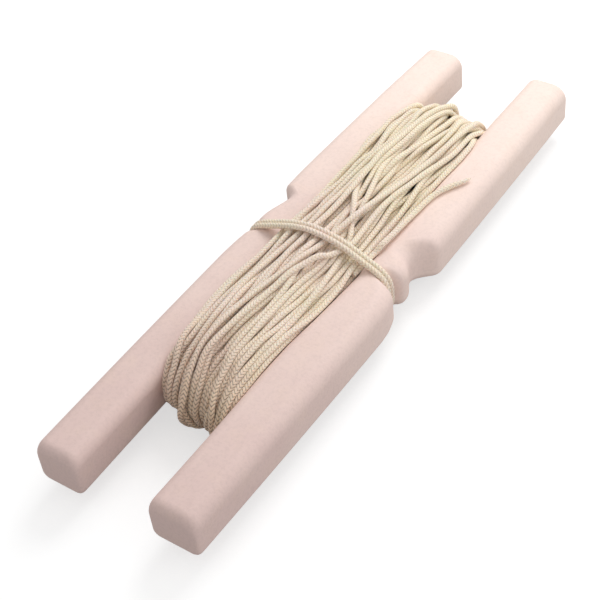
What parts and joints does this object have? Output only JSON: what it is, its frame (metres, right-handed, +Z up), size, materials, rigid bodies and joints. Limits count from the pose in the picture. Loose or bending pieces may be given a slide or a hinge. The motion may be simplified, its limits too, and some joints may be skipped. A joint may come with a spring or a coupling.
{
  "type": "string reel",
  "caption": "Flat hand reel: square rails joined by a hidden cross board, with pale braided cord wound lengthwise round the board and tied at the notched waist.",
  "frame": {"origin": "centre of the reel at the surface it lies on, under the flattened winding", "axes": "+X across the reel, +Y along the rails, +Z up"},
  "size_m": [0.064, 0.24, 0.0332],
  "materials": {
    "rail_plastic": "smooth matte pinkish white plastic",
    "board_plastic": "smooth matte pinkish white plastic",
    "dowel_wood": "plain turned hardwood",
    "cord": "ivory braided cord with a slight sheen"
  },
  "bodies": {
    "root": {"left_rail": "rail_plastic", "right_rail": "rail_plastic", "centre_board": "board_plastic", "left_near_dowel": "dowel_wood", "left_middle_dowel": "dowel_wood", "left_far_dowel": "dowel_wood", "right_near_dowel": "dowel_wood", "right_middle_dowel": "dowel_wood", "right_far_dowel": "dowel_wood", "inner_turns": "cord", "outer_turns": "cord", "waist_tie": "cord", "cord_tail": "cord"}
  },
  "joints": []
}
